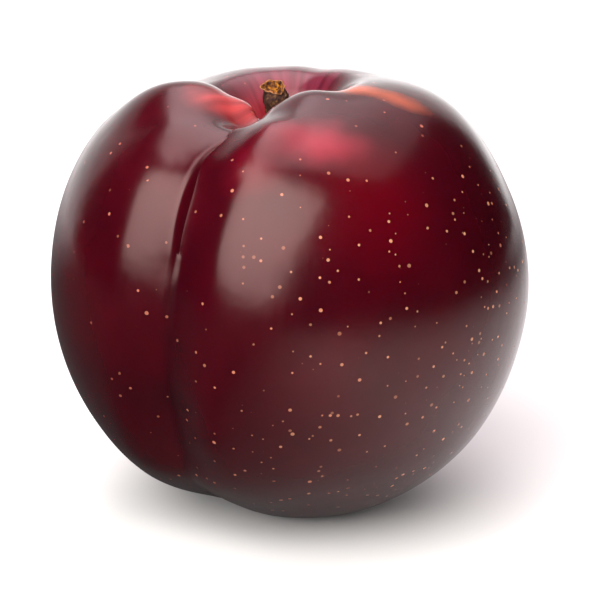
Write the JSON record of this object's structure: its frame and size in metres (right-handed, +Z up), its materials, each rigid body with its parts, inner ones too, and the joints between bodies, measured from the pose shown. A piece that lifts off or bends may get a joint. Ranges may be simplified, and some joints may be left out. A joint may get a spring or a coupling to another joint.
{
  "type": "plum",
  "caption": "Ripe dark plum with a stalk cavity, a suture furrow down one side and a stub of stalk, standing on a small flat spot.",
  "frame": {"origin": "in the plane that the fruit stands on, under the middle of its width and depth", "axes": "+Z up through the stalk cavity; -Y to the front, with the suture furrow front left; +X to the right, towards the fuller cheek"},
  "size_m": [0.0604, 0.0572, 0.0566],
  "materials": {
    "skin": "smooth waxy gloss, dark red to nearly black, with small pale specks",
    "stalk_wood": "rough dry bark, the broken end golden brown"
  },
  "bodies": {
    "root": {"fruit": "skin", "stalk": "stalk_wood"}
  },
  "joints": []
}
